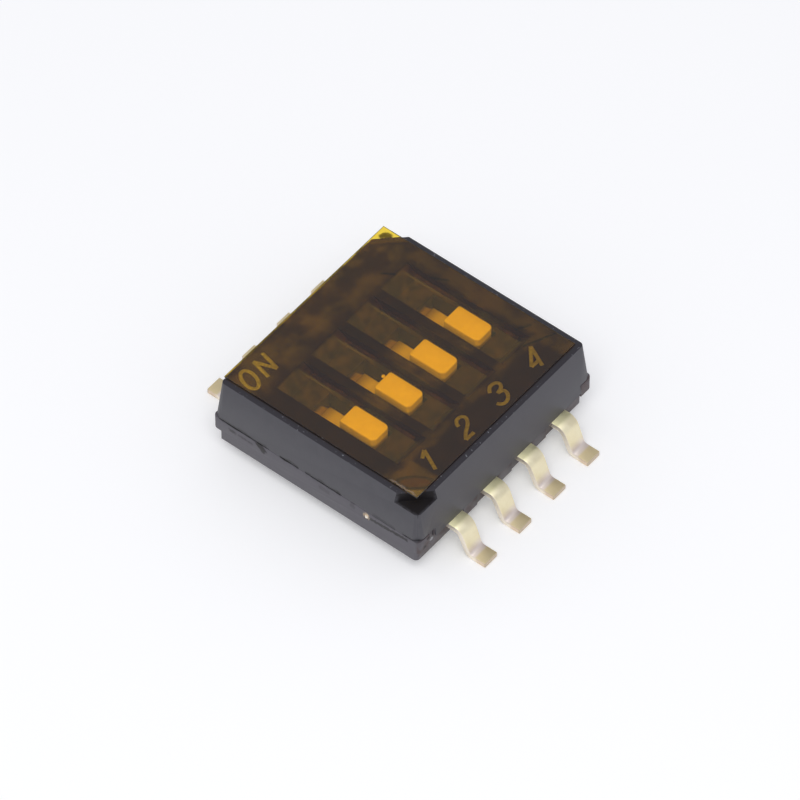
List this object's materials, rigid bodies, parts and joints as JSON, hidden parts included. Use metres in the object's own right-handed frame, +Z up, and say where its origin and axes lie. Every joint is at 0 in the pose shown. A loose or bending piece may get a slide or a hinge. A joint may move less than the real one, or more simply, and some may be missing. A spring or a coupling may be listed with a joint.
{
  "type": "dip switch",
  "caption": "Surface-mount slide switch block with a sealed row of small sliders in slots, gull-wing leads on two sides and a clear amber tape on top.",
  "frame": {"origin": "middle of the part in plan, on the plane of the solder feet", "axes": "+X along the row from switch 1 to switch 4, +Y towards the ON side, +Z up from the circuit board"},
  "size_m": [0.0064, 0.0082, 0.0023],
  "materials": {
    "cover_plastic": "satin moulded black thermoplastic",
    "base_plastic": "satin moulded black thermoplastic",
    "knob_plastic": "satin moulded amber-orange plastic",
    "tape_film": "clear amber polyimide film",
    "lead_metal": "matt tin plate over copper alloy",
    "spring_metal": "gold plate over copper alloy",
    "tie_metal": "bare sheared copper alloy"
  },
  "bodies": {
    "housing": {"base": "base_plastic", "cover": "cover_plastic", "seal_tape": "tape_film", "terminal_1": "lead_metal", "terminal_2": "lead_metal", "terminal_3": "lead_metal", "terminal_4": "lead_metal", "terminal_5": "lead_metal", "terminal_6": "lead_metal", "terminal_7": "lead_metal", "terminal_8": "lead_metal", "tie_bar_left": "tie_metal", "tie_bar_right": "tie_metal"},
    "actuator_1": {"slider_1": "knob_plastic", "contact_1": "spring_metal"},
    "actuator_2": {"slider_2": "knob_plastic", "contact_2": "spring_metal"},
    "actuator_3": {"slider_3": "knob_plastic", "contact_3": "spring_metal"},
    "actuator_4": {"slider_4": "knob_plastic", "contact_4": "spring_metal"}
  },
  "joints": [
    {"name": "slide_1", "type": "slide", "parent": "housing", "child": "actuator_1", "axis": [0, 1, 0], "range_m": [0, 0.00082]},
    {"name": "slide_2", "type": "slide", "parent": "housing", "child": "actuator_2", "axis": [0, 1, 0], "range_m": [0, 0.00082]},
    {"name": "slide_3", "type": "slide", "parent": "housing", "child": "actuator_3", "axis": [0, 1, 0], "range_m": [0, 0.00082]},
    {"name": "slide_4", "type": "slide", "parent": "housing", "child": "actuator_4", "axis": [0, 1, 0], "range_m": [0, 0.00082]}
  ]
}
